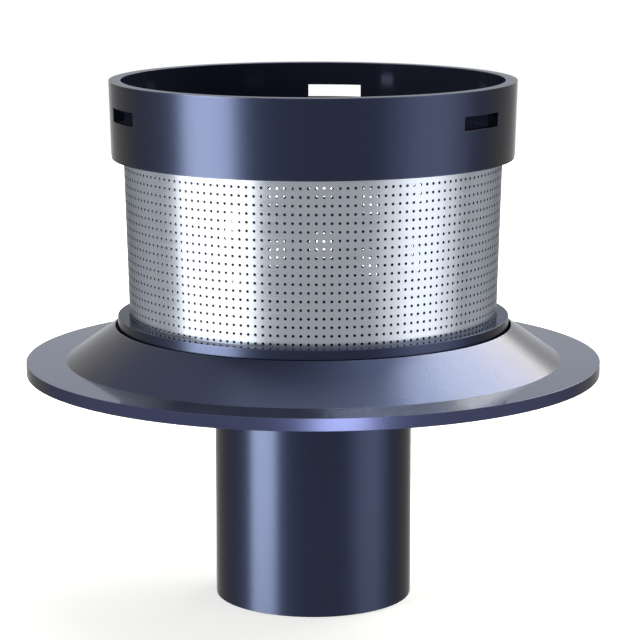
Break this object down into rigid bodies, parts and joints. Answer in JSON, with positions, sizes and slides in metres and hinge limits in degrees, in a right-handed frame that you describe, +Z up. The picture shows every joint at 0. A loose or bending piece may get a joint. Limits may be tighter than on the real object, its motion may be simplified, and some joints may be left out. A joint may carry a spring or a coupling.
{
  "type": "vacuum cleaner metal filter",
  "caption": "Perforated steel screen filter for a vacuum dust cup: slotted top collar, screen, seat ring, flared skirt and centre dust tube.",
  "frame": {"origin": "centre of the open end of the centre tube, which the part stands on", "axes": "+Z up along the common axis of tube, screen and collar; +Y through the middle of one latch window"},
  "size_m": [0.108, 0.108, 0.0982],
  "materials": {
    "collar_navy": "metallic navy lacquer, satin",
    "screen_steel": "bright rolled stainless sheet with punched holes",
    "ring_navy": "metallic navy lacquer, glossy",
    "skirt_navy": "metallic navy lacquer, glossy",
    "tube_navy": "metallic navy lacquer, satin"
  },
  "bodies": {
    "root": {"top_collar": "collar_navy", "filter_screen": "screen_steel", "seat_ring": "ring_navy", "skirt": "skirt_navy", "centre_tube": "tube_navy"}
  },
  "joints": []
}
